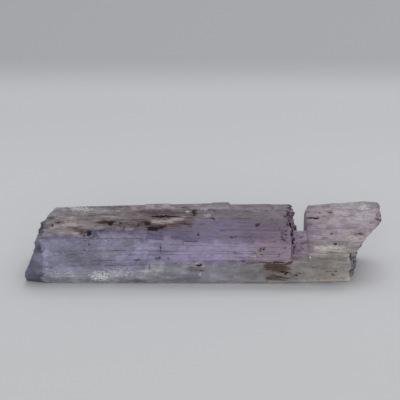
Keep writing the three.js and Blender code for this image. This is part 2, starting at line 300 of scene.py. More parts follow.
def cleaved(y, z, seed):
    """Tones from 0 to 1 of a broken end. It has split along two sets of planes into blocks a
    millimetre or two across: a block's tone is its own, and its borders stray with the lumps."""
    stray = break_lumps(y, z, seed + 3)
    one_way, other_way = np.floor((y + z) / BLOCK[0] + stray), np.floor((y - z) / BLOCK[1] - stray)
    return chance(one_way + KEY_SHIFT, other_way + KEY_SHIFT, seed + 40)


def bevels(pair, y, z):
    """x of an end's bevels on the front and on the top, by how deep a point of the section lies
    behind the front and under the top."""
    (front_x, front_run), (top_x, top_run) = pair
    ridges = np.array([follow(LONG_FACES[i][2], front_x) for i in range(UPPER_BACK + 1)])
    front_y = np.interp(z, ridges[: UPPER + 1, 1], ridges[: UPPER + 1, 0])
    top_z = np.interp(y, ridges[UPPER:, 0], ridges[UPPER:, 1])
    behind, under = np.maximum(y - front_y, 0), np.maximum(top_z - z, 0)
    return front_x + front_run * behind, top_x + top_run * under


def left_end(y, z):
    """x of the left break: the farthest right of its outline and its two bevels, and lumps."""
    front, top = bevels(LEFT_BEVELS, y, z)
    outline = follow(LEFT_OUTLINE, rise(y, z))[0]
    rough = break_lumps(y, z, LEFT_SEED) - BLOCK_DEPTH * cleaved(y, z, LEFT_SEED)
    return np.maximum(outline, np.maximum(front, top)) + rough + LEFT_INSET


def right_end(y, z):
    """x of the right break: the farthest left of its outline and its two bevels, and lumps.
    The front bevel belongs to the lower part alone."""
    front, top = bevels(RIGHT_BEVELS, y, z)
    front = np.where(z < follow(LONG_FACES[UPPER][2], RIGHT_BEVELS[0][0])[1], front, np.inf)
    outline = follow(RIGHT_OUTLINE, rise(y, z))[0]
    split = BLOCK_DEPTH * (cleaved(y, z, RIGHT_SEED) - 0.7)
    toothed = TEETH_DEPTH * (teeth(rise(y, z)) + 0.8)
    rough = break_lumps(y, z, RIGHT_SEED) + split + toothed
    return np.minimum(outline, np.minimum(front, top)) + rough


# ---- Slot ----
# A piece has broken out of the top near the right end. The slot's left wall is knobbly, its
# right wall is smooth and curves away at the top, and its floor falls towards the back.

# y and z of the floor's front, how steeply it falls, how far the left wall slants for each
# millimetre back, and x of both walls by height above the floor.
SLOT_FLOOR = (-2.6, 11.1)
SLOT_FALL = np.radians(33)
SLOT_SKEW = 0.25
SLOT_LEFT = [(0, 19.6), (0.8, 18.9), (3.3, 18.4), (5.2, 18.7), (6.3, 18.8), (7, 18.3)]
SLOT_RIGHT = [(0, 23.1), (4.9, 23.0), (5.6, 23.2), (6.2, 23.6), (7.5, 25.2)]
# Depths of the left wall's coarse and fine knobs and its teeth, and the floor's roughness.
COARSE_KNOBS, FINE_KNOBS, WALL_TEETH, FLOOR_ROUGHNESS = 0.25, 0.1, 0.35, 0.12
WALL_ALONG, WALL_UP = (-13, 13), (0, 12)


def to_slot(y, z):
    """A point of the section in the slot's own frame: along its floor, and up from it."""
    return turned(y - SLOT_FLOOR[0], z - SLOT_FLOOR[1], SLOT_FALL)


def from_slot(along, up):
    """The same point back in the section's frame."""
    y, z = turned(along, up, -SLOT_FALL)
    return y + SLOT_FLOOR[0], z + SLOT_FLOOR[1]


def slot_left(along, up):
    """x of the left wall, which slants to the right towards the back, with its knobs."""
    along, up = np.maximum(along, 0), np.maximum(up, 0)
    coarse = lumps(along, up, WALL_ALONG, WALL_UP, cells=(26, 12), grain=1.0, seed=20)
    fine = lumps(along, up, WALL_ALONG, WALL_UP, cells=(72, 34), grain=0.36, seed=50)
    knobs = COARSE_KNOBS * coarse - FINE_KNOBS * (1 + fine)
    knobs = knobs + WALL_TEETH * teeth(rise(*from_slot(along, up)))
    return follow(SLOT_LEFT, up)[0] + SLOT_SKEW * along + knobs


def slot_right(up):
    """x of the right wall for a height above the floor."""
    return follow(SLOT_RIGHT, np.maximum(up, 0))[0]


# Rows of the surface's grid along the crystal: about a quarter of a millimetre apart in both
# bodies, and between these down one wall of the slot, over its floor and up the other.
LEFT_ROWS, WALL_ROWS, FLOOR_ROWS, RIGHT_ROWS = 290, 16, 10, 78
# Nominal x of each body's outer row, of the section that its break is first worked out on,
# where its rows begin to lean that way and towards the slot, and of its row at the slot.
LEFT_X, LEFT_PROBE, LEFT_TAPER, LEFT_LEAN, SLOT_LEFT_X = -39.6, -35.5, -30.5, 13.5, 19.6
RIGHT_X, RIGHT_PROBE, RIGHT_TAPER, RIGHT_LEAN, SLOT_RIGHT_X = 40, 35.0, 27.5, 27.4, 22.9
# x of the neck's section under each wall, and of the floor's far end. How far the left wall's
# foot runs out, how far the right wall's stands back, and how far that wall leans.
LEFT_FOOT_X, RIGHT_FOOT_X, FLOOR_END = 20.1, 22.4, 22.5
LEFT_FOOT_RUN, RIGHT_FOOT_BACK, RIGHT_WALL_LEAN, LEAST_LEAN = 0.3, 0.2, 0.35, 0.4


def row_grid(nominal):
    """An array of rows by columns that holds each row's nominal x."""
    return np.repeat(np.asarray(nominal, float)[:, None], COLUMNS, axis=1)


def to_break(x, lean, end_at, taper, outer, probe):
    """A body's rows: each leans as it is given, and from the taper to the outer row, which lies
    on the break, it follows the break by its share of that way."""
    end_x = end_at(*section(row_grid([probe])))
    share = np.clip((x - taper) / (outer - taper), 0, 1)
    x = np.where(share > 0, taper + share * (end_x - taper), x + lean)
    y, z = section(x)
    row = 0 if outer < 0 else -1
    x[row] = end_at(y[row], z[row])
    return x, y, z


def left_body():
    """The rows from the left break to the slot, where they lean to follow the slot's wall."""
    x = row_grid(np.linspace(LEFT_X, SLOT_LEFT_X, LEFT_ROWS))
    along, up = to_slot(*section(row_grid([SLOT_LEFT_X]), bare=True))
    lean = (slot_left(along, up) - SLOT_LEFT_X) * smooth(x, LEFT_LEAN, SLOT_LEFT_X)
    return to_break(x, lean, left_end, LEFT_TAPER, LEFT_X, LEFT_PROBE)


def right_body():
    """The rows from the slot to the right break, leaning in the same way."""
    x = row_grid(np.linspace(SLOT_RIGHT_X, RIGHT_X, RIGHT_ROWS))
    _, up = to_slot(*section(row_grid([SLOT_RIGHT_X])))
    lean = np.maximum(slot_right(up) - SLOT_RIGHT_X, 0) * (1 - smooth(x, SLOT_RIGHT_X, RIGHT_LEAN))
    return to_break(x, lean, right_end, RIGHT_TAPER, RIGHT_X, RIGHT_PROBE)


def floored(x):
    """The neck's section at x, cut off at the slot's floor."""
    along, up = to_slot(*section(x))
    return along, np.minimum(up, 0)


def slot_rows(left_edge, right_edge):
    """The rows between the two bodies. On a wall the share t runs from the body's edge down to
    the floor, and the wall's x follows from the point's place in the slot."""
    t = np.linspace(0, 1, WALL_ROWS + 1)[1:, None]
    top, foot = to_slot(*left_edge), floored(row_grid([LEFT_FOOT_X]))
    along, up = [high + t * (low - high) for high, low in zip(top, foot)]
    left_wall = (slot_left(along, up) + LEFT_FOOT_RUN * t, *from_slot(along, up))
    low_x = left_wall[0][-1]
    t = np.linspace(0, 1, FLOOR_ROWS + 1)[1:, None]
    x = low_x + t * (FLOOR_END - low_x)
    along, up = floored(x)
    rough = lumps(x, along, (15, 30), (-20, 20), cells=(30, 80), grain=0.5, seed=60) * (up > -0.02)
    floor = (x, *from_slot(along, up - np.abs(FLOOR_ROUGHNESS * rough)))
    t = np.linspace(0, 1, WALL_ROWS + 1)[1:-1, None]
    top, foot = to_slot(*right_edge), floored(row_grid([RIGHT_FOOT_X]))
    along, up = [low + t * (high - low) for high, low in zip(top, foot)]
    leaning = slot_right(up) - RIGHT_FOOT_BACK + RIGHT_WALL_LEAN * t
    right_wall = (np.maximum(leaning, FLOOR_END + LEAST_LEAN * t), *from_slot(along, up))
    return left_wall, floor, right_wall


left_rows, right_rows = left_body(), right_body()
between = slot_rows([values[-1] for values in left_rows[1:]], [values[0] for values in right_rows[1:]])
blocks = [left_rows, *between, right_rows]
x, y, z = [np.concatenate([block[i] for block in blocks]) for i in range(3)]
# How broken the left body, left wall, floor, right wall and right body look inside the slot.
BROKEN_LOOK = [0, 1, 0.6, 0.3, 0]
counts = [len(block[0]) for block in blocks]
in_wall = np.repeat(BROKEN_LOOK, counts)[:, None] * (to_slot(y, z)[1] > -0.3)

# ---- Hollows and chips ----
# Small bites are chipped out of the faces, along the mineral's easy splitting planes: uneven,
# flattened and drawn out along the crystal. Rust and clay have settled in the deeper ones.

# Each: x of its middle, face, how far across it, then half its length, width and depth.
HOLLOWS = [
    (-8.7, UPPER, 0.53, 4.9, 1.5, 0.55), (-30.6, UPPER, 0.3, 2.7, 0.9, 0.45),
    (-17.5, UPPER, 0.12, 2.4, 0.6, 0.35), (-23.8, FRONT, 0.9, 0.6, 0.6, 0.4),
    (-22.3, LOWER_FRONT, 0.6, 2.1, 1.2, 0.4), (1.2, LOWER_FRONT, 0.6, 0.7, 1.2, 0.35),
    (20.9, FRONT, 0.85, 0.7, 0.8, 0.35), (21.9, UPPER, 0.15, 0.6, 0.9, 0.3),
    (35.4, UPPER, 0.42, 1.6, 0.5, 0.35), (12.5, UPPER_BACK, 0.6, 4.2, 1.1, 0.6),
    (-19, BACK, 0.4, 5.0, 1.3, 0.6),
]
# The lobes of a hollow's rim and how far they stand out, how far from its face a bite reaches,
# and the depth from which it looks fully chipped.
LOBES, LOBE_SIZE = 9, 0.2
BITE_REACH = 2
CHIPPED_DEPTH = 0.2
chip = np.zeros_like(x)
for number, (mid_x, face, share, half_x, half_wide, half_deep) in enumerate(HOLLOWS):
    mid_y, mid_z, in_y, in_z, _ = across_face(face, share, mid_x)
    sunk = neck_depth(mid_x) if face in (FRONT, UPPER) else 0
    depth = (y - mid_y) * in_y + (z - mid_z) * in_z - sunk
    wide = (y - mid_y) * -in_z + (z - mid_z) * in_y
    u, v = (x - mid_x) / half_x, wide / half_wide
    angle = np.arctan2(v, u) / np.pi * (LOBES / 2)
    lobe_span = (-LOBES / 2, LOBES / 2)
    lobes = lumps(angle, u * 0, lobe_span, (0, 1), cells=(LOBES, 1), grain=0.5, seed=70 + number)
    r = np.hypot(u, v) / (1 + LOBE_SIZE * lobes)
    bite = half_deep * np.sqrt(np.clip(1 - r * r, 0, 1)) * (np.abs(depth) < BITE_REACH)
    move = np.clip(bite - depth, 0, None) * (bite > 0)
    y, z = y + move * in_y, z + move * in_z
    chip = np.maximum(chip, smooth(move, 0.0, CHIPPED_DEPTH))

# ---- Fine striation ----
# Between the big ledges each face carries finer ones, a few hundredths of a millimetre deep,
# which the crystal grew along its length. They run a millimetre or two and give way to others.

STRIA_DEPTH = 0.045  # half as deep on the front
STRIA_LENGTH = 1.9
STRIA_SHIFT = 6  # lengths by which a column's striae can lie shifted


def stepped_tones(at, crisp, key, seed):
    """Tones from 0 to 1, one for each whole step of at and each key: a tone is level up to the
    share crisp of its step, then runs into the next one."""
    step = np.floor(at).astype(int)
    here, later = chance(key, step, seed), chance(key, step + 1, seed)
    return here + smooth(at - step, crisp, 1.0) * (later - here)


stretch_at = x / STRIA_LENGTH + STRIA_SHIFT * chance(np.arange(COLUMNS), 90)
streak = stepped_tones(stretch_at, 0.75, np.arange(COLUMNS), 91)
fine_depth = STRIA_DEPTH * streak * (1 - 0.5 * (column_face == FRONT))
fine_depth[:, (column_face == BASE) | (column_face == FRONT_FOOT)] = 0
previous, following = [np.roll(np.stack([y, z]), by, axis=2) for by in (1, -1)]
run = following - previous
run /= np.maximum(np.hypot(*run), 1e-9)
y = y + fine_depth * run[1]
z = z - fine_depth * run[0]

# ---- Closing the ends ----
# Each broken end is closed in rings that shrink on the middle of the section. Its split blocks
# get painted light and shade one by one, lighter where they stand out and darker in hollows, and
# dark specks have gathered on it and on the slot's left wall.

CORE = (0.2, 6.6)
CAP_RINGS = 28
RING_CROWDING = 1.6
ring_shares = ((np.arange(CAP_RINGS)[:, None] + 1) / (CAP_RINGS + 1)) ** RING_CROWDING
# The shares of the way in between which an end's rim gives way to its violet inside, and how
# strong the specks are on the left end, the slot's left wall and the right end.
LEFT_RIM, RIGHT_RIM = (0.25, 0.6), (0.1, 0.5)
LEFT_SPECKS, WALL_SPECKS, RIGHT_SPECKS = 0.3, 0.6, 0.45


def cap(edge_y, edge_z, end_at):
    """Rings from the section's edge to its core: y and z shrink by each ring's share of the way
    in, which grows slowly at first, so that the rings crowd at the edge; x is the break's."""
    ring_y = edge_y + ring_shares * (CORE[0] - edge_y)
    ring_z = edge_z + ring_shares * (CORE[1] - edge_z)
    return end_at(ring_y, ring_z), ring_y, ring_z


def painted_break_shading(ring_y, ring_z, seed, outward):
    """Painted light and shade on a broken end, from -1 to 1: by block, and by how far it stands out."""
    return cleaved(ring_y, ring_z, seed) - 0.5 + outward * 1.2 * break_lumps(ring_y, ring_z, seed)


def dirt(ring_y, ring_z):
    """Where dark specks gather on a broken end, in patches some millimetres across."""
    patches = lumps(ring_y, ring_z, (-10, 10), (0, 18), cells=(7, 6), grain=3.0, seed=63)
    return smooth(patches, 0.0, 0.8)


def whole(left_rings, body, right_rings):
    """Values for every row of the closed crystal: the left end's rings from the core outwards,
    the body's rows, and the right end's rings inwards. One number can stand for all rings."""
    left, right = [np.broadcast_to(rings, (CAP_RINGS, COLUMNS)) for rings in (left_rings, right_rings)]
    return np.concatenate([left[::-1], body, right])


left_cap, right_cap = cap(y[0], z[0], left_end), cap(y[-1], z[-1], right_end)
left_break_shading, right_break_shading = painted_break_shading(*left_cap[1:], LEFT_SEED, -1), painted_break_shading(*right_cap[1:], RIGHT_SEED, 1)
left_deep, right_deep = smooth(ring_shares, *LEFT_RIM), smooth(ring_shares, *RIGHT_RIM)
left_dirt = LEFT_SPECKS * left_deep * dirt(*left_cap[1:])
right_dirt = RIGHT_SPECKS * dirt(*right_cap[1:])
deep = whole(left_deep, np.zeros_like(x), right_deep)
break_shading = whole(left_break_shading, np.zeros_like(x), right_break_shading)
specks_in_breaks = whole(left_dirt, WALL_SPECKS * (in_wall == 1), right_dirt)
x, y, z = [whole(left_cap[i], values, right_cap[i]) for i, values in enumerate((x, y, z))]
broken, chip, streak = whole(1, in_wall, 1), whole(0, chip, 0), whole(0.5, streak, 0.5)

# ---- Mesh ----
# The crystal is one closed skin, as it is one piece: the grid's quads, and a fan of triangles
# round the core of each end. It stands in for the CAD crystal and keeps within its box.


def new_object(name, data):
    """An object of this data, in the scene."""
    made = bpy.data.objects.new(name, data)
    bpy.context.scene.collection.objects.link(made)
    return made


ROWS = len(x)
MIDDLE = (0.28401756, -0.00042105, 0.0)  # of the crystal as it is measured above
MM_PER_METRE = 1000
SHARP_ANGLE = np.radians(28)
cores = [[end_at(*map(np.array, CORE)), *CORE] for end_at in (left_end, right_end)]
points = np.concatenate([np.stack([x, y, z], axis=2).reshape(-1, 3), np.array(cores, float)])
points = (points - MIDDLE) / MM_PER_METRE
low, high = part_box("kunzite_crystal")
points = np.clip(points, low, high)
index = np.arange(ROWS * COLUMNS).reshape(ROWS, COLUMNS)
beside = np.roll(index, -1, axis=1)
left_core, right_core = ROWS * COLUMNS + np.arange(2)
quads = np.stack([index[:-1], index[1:], beside[1:], beside[:-1]], axis=2).reshape(-1, 4)
left_fan = np.stack([index[0], beside[0], np.full(COLUMNS, left_core)], axis=1)
right_fan = np.stack([beside[-1], index[-1], np.full(COLUMNS, right_core)], axis=1)
mesh = bpy.data.meshes.new("kunzite")
mesh.from_pydata(points.tolist(), [], quads.tolist() + left_fan.tolist() + right_fan.tolist())
mesh.update()
mesh.polygons.foreach_set("use_smooth", np.ones(len(mesh.polygons), bool))
mesh.set_sharp_from_angle(angle=SHARP_ANGLE)
crystal = new_object("kunzite", mesh)
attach(crystal, "root")
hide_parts("kunzite_crystal")

# ---- Colour zones ----
# The crystal's colour follows its growth. Lilac fills the front, a mauve band lies over it, a
# grey-brown film covers the upper left, and the foot and the crest are greyer and clearer. The
# foot is also painted lighter, painted light from the floor shining up through it.

# Each zone begins at a height up the front view that changes along x: (x, height).
FOOT_EDGE = [
    (-40, 2.4), (-35, 1.7), (-30, 2.2), (-14, 2.6), (-11.5, 4.3), (20, 4.9), (23, 6.2), (36, 6.4),
]
MAUVE_EDGE = [(-38, 9.5), (-25, 9.2), (19, 9.3)]
FILM_EDGE = [
    (-38, 10.9), (-27, 10.7), (-24.8, 12.1), (-14, 12.2), (-10.7, 11.9), (-7.4, 12.3), (-2.9, 13.4),
    (0.4, 14.2), (6, 14), (19, 13.7),
]
CREST_EDGE = [(-36, 15.6), (-8, 16.4), (19, 16.2), (36, 16.8)]


def keep(name, values):
    """Keeps one number for each point of the mesh; the two cores take the last one's."""
    values = np.append(np.broadcast_to(values, x.shape).ravel(), [np.ravel(values)[-1]] * 2)
    mesh.attributes.new(name, "FLOAT", "POINT").data.foreach_set("value", values.astype(np.float32))


# How far round the section a column lies, as its face's number and share of that face, and in
# millimetres.
share_from = np.array([corner[2] for corner in corners])[column_from]
share_to = np.array([corner[2] or 1.0 for corner in next_corners])[column_from]
around = column_face + share_from + column_share * (share_to - share_from)
around[around > BASE + 0.5] -= len(LONG_FACES)
loop_y, loop_z = y[ROWS // 3], z[ROWS // 3]
girth = np.cumsum(np.hypot(np.diff(loop_y, prepend=loop_y[-1]), np.diff(loop_z, prepend=loop_z[-1])))

# The back takes the same zones as the front, seen from behind and from right to left: they are
# moved and drawn in along x, and marks are weaker there.
BACK_MOVE, BACK_DRAW, BACK_MARKS = 5, 0.9, 0.6
RAGGEDNESS = 0.25
past_crest = around > UPPER_BACK
at_back = smooth(around, UPPER_BACK, UPPER_BACK + 0.6)
mark_share = np.where(past_crest, BACK_MARKS * at_back, 1)
zone_x = np.where(past_crest, BACK_MOVE - BACK_DRAW * x, x)
height = rise(np.where(past_crest, -y, y), z)
waver = lumps(x, around + 0 * x, (-45, 45), (-1, 10), cells=(64, 30), grain=0.7, seed=95)
ragged = height + RAGGEDNESS * waver


def above(edge, softness):
    """How much of a zone there is over its edge, from 0 to 1; the crest of the back is in it."""
    zone = smooth(ragged - follow(edge, zone_x)[0], -softness, softness)
    return np.where(past_crest, 1 + at_back * (zone - 1), zone)


def panes(length, width, crisp, seed):
    """Tones from 0 to 1 in panes of length by width: every strip along the crystal has its
    breaks at its own places and slant, and each pane's end runs into the next tone."""
    strip = np.floor(girth / width).astype(int)
    slant = (chance(strip, seed + 3) - 0.5) * (girth / width - strip)
    return stepped_tones(x / length + 8 * chance(strip, seed) + slant, crisp, strip, seed + 1)


keep("around", around)
keep("lilac", above(FOOT_EDGE, 0.6))
keep("mauve", above(MAUVE_EDGE, 0.5))
keep("film", above(FILM_EDGE, 0.6))
keep("crest", above(CREST_EDGE, 0.5))
large, small, tiny = panes(4.8, 1.8, 0.9, 101), panes(1.8, 1.1, 0.7, 107), panes(0.9, 0.4, 0.4, 113)
keep("pane", 0.35 * large + 0.35 * small + 0.3 * tiny)
keep("streak", streak)
keep("broken", broken)
keep("deep", deep)
keep("painted_break_shading", break_shading)
keep("chip", chip)

# ---- Marks ----
# Iron has stained the crystal brown where cracks let water in, clay has dried in some of its
# hollows, specks of dark mineral sit on its rough places, and bruised spots are white. Some clay
# patches are painted highlights on lit slopes, and some frost patches painted glints.

# Each mark: its middle's x and height up the front view, half its length and height, strength.
BROWN_STAINS = [
    (-32.2, 13.6, 1.3, 0.5, 0.6), (-28.3, 12.3, 1.6, 0.5, 0.6), (-30.4, 11.9, 3.4, 0.4, 0.4),
    (-26.2, 11.3, 1.8, 0.9, 0.6), (-21.6, 13.35, 2.8, 0.6, 0.95), (-18.8, 12.8, 1.5, 0.5, 0.8),
    (-15.6, 17, 3.4, 0.5, 0.45), (-3.9, 16.9, 1.6, 0.5, 0.5), (-16.6, 12.9, 2.4, 1.1, 0.55),
    (-13.2, 13.2, 2.4, 1, 0.7), (-8.4, 15.5, 5.8, 1.1, 0.5), (-8.8, 12.7, 4.6, 0.9, 0.6),
    (-11, 14.1, 1, 0.5, 0.6), (-4.6, 13.2, 3.2, 1.3, 0.55), (-3, 15, 1.4, 1.6, 0.6),
    (-9.1, 5.6, 1.8, 1.2, 0.25), (-1.9, 3.5, 2.2, 1.5, 0.5), (12.4, 6.9, 1.9, 1.5, 0.35),
    (11.2, 4.5, 3.4, 0.4, 0.55), (28.5, 6, 5, 0.9, 0.35), (15.4, 4.7, 4.4, 0.3, 0.9),
    (15.7, 4.1, 3.1, 0.5, 1.2), (16, 3.4, 2.7, 0.5, 1.2), (16.8, 2.7, 2.3, 0.4, 1),
    (18.6, 4.6, 1.2, 0.35, 1.1), (18.9, 2.6, 0.8, 0.4, 0.7), (16.4, 1.3, 3.8, 0.8, 0.9),
    (16.2, 3, 4.4, 2.4, 0.35), (34.2, 11.1, 2.4, 0.45, 0.6),
]
BLACK_SPOTS = [
    (-33.5, 13, 0.35, 0.35, 0.8), (-32.3, 13.5, 0.5, 0.3, 0.5), (-25.1, 11, 0.65, 0.6, 1),
    (-26.2, 10.5, 0.35, 0.35, 0.8), (-26, 9.3, 0.25, 0.45, 0.65), (-26.3, 8.3, 0.3, 0.3, 0.6),
    (-26.2, 7.4, 0.25, 0.3, 0.6), (-25.1, 8.7, 0.4, 0.25, 0.6), (-22.7, 11.7, 0.5, 0.4, 0.35),
    (-21.2, 13.35, 1.1, 0.3, 0.5), (-20.6, 13.1, 0.7, 0.5, 0.9), (-18.4, 13.4, 0.6, 0.4, 0.7),
    (-17.5, 12.2, 0.25, 0.9, 0.5), (-15.9, 11, 0.7, 0.35, 0.45), (-14.8, 5.3, 0.6, 0.3, 0.7),
    (-14.1, 12.8, 0.6, 0.5, 0.5), (-12.4, 13.2, 0.9, 0.5, 0.7), (-11.1, 12.1, 1.6, 0.6, 0.9),
    (-8.9, 12.6, 1.2, 0.45, 0.6), (-8.9, 14.9, 3, 0.22, 0.9), (-11.8, 3.8, 0.25, 0.9, 0.5),
    (-9.4, 7.6, 0.25, 1.2, 0.5), (-2, 15.9, 0.8, 0.9, 0.5), (-2.6, 9.3, 1.7, 0.2, 0.5),
    (-2.2, 4.95, 0.8, 0.2, 0.5), (-1.1, 10.5, 0.25, 1.3, 0.5), (-0.9, 4.1, 1, 0.3, 0.8),
    (-0.2, 2.7, 0.5, 0.5, 0.5), (2.2, 14.5, 0.6, 0.2, 0.8), (4.2, 11.6, 0.6, 0.2, 0.4),
    (6.4, 10.3, 1.1, 0.25, 0.45), (8.9, 4.9, 0.6, 0.25, 0.5), (12, 13, 0.7, 0.4, 0.7),
    (13.3, 7.5, 0.6, 0.2, 0.6), (12.8, 6.3, 0.3, 0.2, 0.5), (16.5, 4.75, 3, 0.2, 0.5),
    (17.9, 2.6, 1.2, 0.5, 0.5), (19.4, 13, 0.4, 0.5, 0.9), (19.8, 11.8, 0.3, 0.6, 0.9),
    (19.6, 10.7, 0.35, 0.5, 0.8), (20, 9.8, 0.3, 0.5, 0.75), (19.7, 8.8, 0.3, 0.45, 0.65),
    (20, 7.8, 0.25, 0.5, 0.75), (19.8, 6.8, 0.3, 0.4, 0.65), (20.6, 2, 1.9, 0.5, 0.4),
    (24.6, 14.5, 1.4, 0.2, 1), (24.3, 3.8, 0.6, 0.2, 0.45), (26.1, 15.7, 0.5, 0.2, 0.5),
    (26.3, 3.5, 0.4, 0.2, 0.45), (28.5, 2.85, 1.9, 0.2, 0.45), (27.1, 10.2, 0.6, 0.2, 0.5),
    (28.4, 15.9, 0.8, 0.2, 0.5), (28.4, 11.3, 0.4, 0.2, 0.6), (28.6, 2, 0.7, 0.2, 0.45),
    (29.1, 8.9, 0.5, 0.25, 0.7), (34.8, 11.1, 0.9, 0.2, 0.5),
]
SPECKLED_PLACES = [
    (-36, 12.6, 1.4, 2, 0.5), (-9.1, 5.6, 1.8, 1, 0.3), (12.4, 6.9, 1.8, 1.4, 0.35),
    (17.8, 10.1, 0.9, 2.4, 0.6), (19.6, 15, 1.6, 2.8, 0.85), (21.4, 9.2, 1.4, 2.8, 0.3),
    (33.5, 4.3, 1.1, 3, 0.65), (34.9, 8.6, 0.9, 1.8, 0.5), (39.2, 14.4, 0.9, 2.2, 0.6),
]
# Dried clay, and cream painted highlights on slopes and ridges that face the light.
CLAY_AND_HIGHLIGHT_PATCHES = [
    (-29.5, 12.9, 2.6, 0.5, 1.1), (-30.6, 11.6, 2.6, 0.5, 0.35), (-29.9, 14, 2.4, 0.8, 0.5),
    (-19.5, 14.6, 4.4, 0.3, 0.6), (-19, 12.4, 0.8, 0.5, 0.4), (-16.5, 12.1, 1.5, 0.6, 0.5),
    (-9.2, 13.8, 3.2, 0.6, 0.9), (-5.8, 14.4, 2.4, 0.55, 0.85), (-2.2, 4.7, 1.6, 0.4, 0.7),
    (0.8, 15.1, 0.9, 0.5, 0.8), (11.4, 5.7, 0.8, 0.5, 0.8), (12.4, 6.9, 2, 1.5, 0.5),
    (27.4, 8, 3.3, 0.6, 1.2), (28.4, 7.4, 4.4, 0.5, 0.85), (28, 16.6, 1, 0.4, 0.6),
    (32.8, 9.9, 2, 0.6, 0.9), (27, 10.6, 1.8, 0.4, 0.6),
]
# White bruised spots, and painted glints and a painted highlight along the top edge.
FROST_AND_GLINT_PATCHES = [
    (-34, 3.4, 1.4, 1.6, 0.15), (-27.8, 16.8, 3.4, 0.7, 0.8), (-22.9, 1.8, 2.6, 1.3, 0.7),
    (-18, 2.6, 5, 1.1, 0.3), (-31.5, 2, 4, 1.2, 0.12), (-21.5, 9.5, 3, 2.4, 0.15),
    (-3.5, 16, 1, 0.3, 0.7), (0.2, 16.7, 1.2, 0.4, 0.7), (-0.8, 2.3, 0.5, 0.5, 0.6),
    (23.4, 5.9, 0.35, 0.25, 1), (27.2, 8, 3, 0.4, 0.5), (36.2, 17.3, 1.7, 0.8, 0.6),
    (33, 15, 4, 1.4, 0.2),
]
# Pale patches are painted flashes of light off cleavages inside the crystal, and dark ones are
# veils that dull it, and painted shade at the foot of the left end: likewise, with how much lighter.
VEILS_AND_PAINTED_LIGHT_SHADE = [
    (-37.2, 1.7, 1.6, 1.5, -0.3), (-36.9, 5.6, 1, 1.7, 0.1), (-35.9, 7.9, 0.8, 1.1, -0.3),
    (-35.4, 5.6, 0.6, 1.1, 0.15), (-33.2, 7.9, 1.3, 1.7, 0.13), (-32.5, 10.6, 3.1, 0.5, 0.17),
    (-31.6, 8.7, 0.5, 1.1, -0.12), (-28.7, 6.7, 2, 2.2, -0.1), (-27.6, 10.7, 1, 0.6, -0.14),
    (-24, 11.8, 1.1, 0.6, 0.25), (-24, 5.6, 1.6, 2.5, -0.16), (-22, 9.4, 3.3, 0.8, -0.12),
    (-21.6, 5.2, 0.9, 1, 0.1), (-16.6, 2.1, 0.9, 0.8, 0.1), (-20.6, 7.8, 1.9, 1.6, 0.1),
    (-15.4, 5.4, 3.3, 0.8, -0.1), (-12.7, 7.8, 2.9, 2.1, 0.06), (-11.6, 2.4, 1, 0.8, -0.12),
    (-11.9, 4.3, 2.4, 1, -0.24), (-4.2, 2.2, 0.8, 0.9, 0.14), (-7, 3.8, 5, 0.7, -0.12),
    (-5, 6.9, 4.2, 1.8, 0.06), (-2.2, 8.8, 0.9, 0.9, -0.2), (4.7, 13.8, 3.3, 0.8, -0.15),
    (9.8, 10.3, 0.9, 1.7, -0.12), (10.8, 4.9, 2.8, 1.1, -0.18), (10.8, 1.9, 2.8, 0.8, -0.12),
    (13.4, 13.1, 5.4, 1.4, -0.2), (16, 9.7, 2.6, 0.6, 0.12), (16, 7.4, 2.6, 1.3, -0.1),
    (20.9, 8.9, 1.9, 1.3, 0.18), (27.1, 5.6, 4.4, 0.7, -0.25), (27.5, 4, 4.6, 0.9, -0.1),
    (27.5, 1.6, 3.2, 0.9, 0.12), (28.7, 10.5, 2.8, 1.2, -0.1), (30, 15.5, 1.1, 1, -0.08),
    (31.2, 5.7, 1.8, 1.2, -0.15), (32, 2, 1.9, 2, -0.12),
]
# How far away, as marks() has it, a mark is gone; how far a veil's ends and sides fade.
MARK_FADE = 1.5
VEIL_ENDS, VEIL_SIDES = 0.15, 0.3


def marks(patches):
    """The strongest of some ragged blocks. Each fades by the fourth power of the half lengths
    away along x, and the square of the half heights. Every column has its own half length."""
    reach = 0.75 + 0.7 * chance(np.arange(COLUMNS), 96) * chance(np.arange(COLUMNS) // 3, 97)
    field = np.zeros_like(x)
    for mid_x, mid_up, half_x, half_up, strength in patches:
        away = ((zone_x - mid_x) / (half_x * reach)) ** 4 + ((ragged - mid_up) / half_up) ** 2
        field = np.maximum(field, strength * np.clip(MARK_FADE - away, 0, MARK_FADE) / MARK_FADE)
    return field * mark_share


def inner_tone(places):
    """The sum of some panes' tones, each level inside. A pane ends abruptly along x, in steps
    from strip to strip, and softly above and below."""
    stepped = zone_x + 0.5 * (chance(np.arange(COLUMNS) // 4, 98) - 0.5)
    tone = np.zeros_like(x)
    for mid_x, mid_up, half_x, half_up, change in places:
        between_ends = smooth(half_x - np.abs(stepped - mid_x), -VEIL_ENDS, VEIL_ENDS)
        between_sides = smooth(half_up - np.abs(ragged - mid_up), -VEIL_SIDES, VEIL_SIDES)
        tone += change * between_ends * between_sides
    return tone * mark_share


# Painted flashes of light and painted shade, with the veils, set the tone inside the crystal.
keep("tone", inner_tone(VEILS_AND_PAINTED_LIGHT_SHADE))
keep("brown", marks(BROWN_STAINS))
keep("black", marks(BLACK_SPOTS))
# Specks gather in the breaks too, and fewer lie far inside an end.
keep("speckled", np.maximum(marks(SPECKLED_PLACES) * (1 - 0.55 * deep), specks_in_breaks))
keep("clay_and_highlight", marks(CLAY_AND_HIGHLIGHT_PATCHES))
keep("frost_and_glint", marks(FROST_AND_GLINT_PATCHES))

# ---- Finish ----
# Clear spodumene with veils: it goes from lilac through violet to pink, and its skin is finely
# striated and partly frosted, so that little of what lies behind it shows sharply.


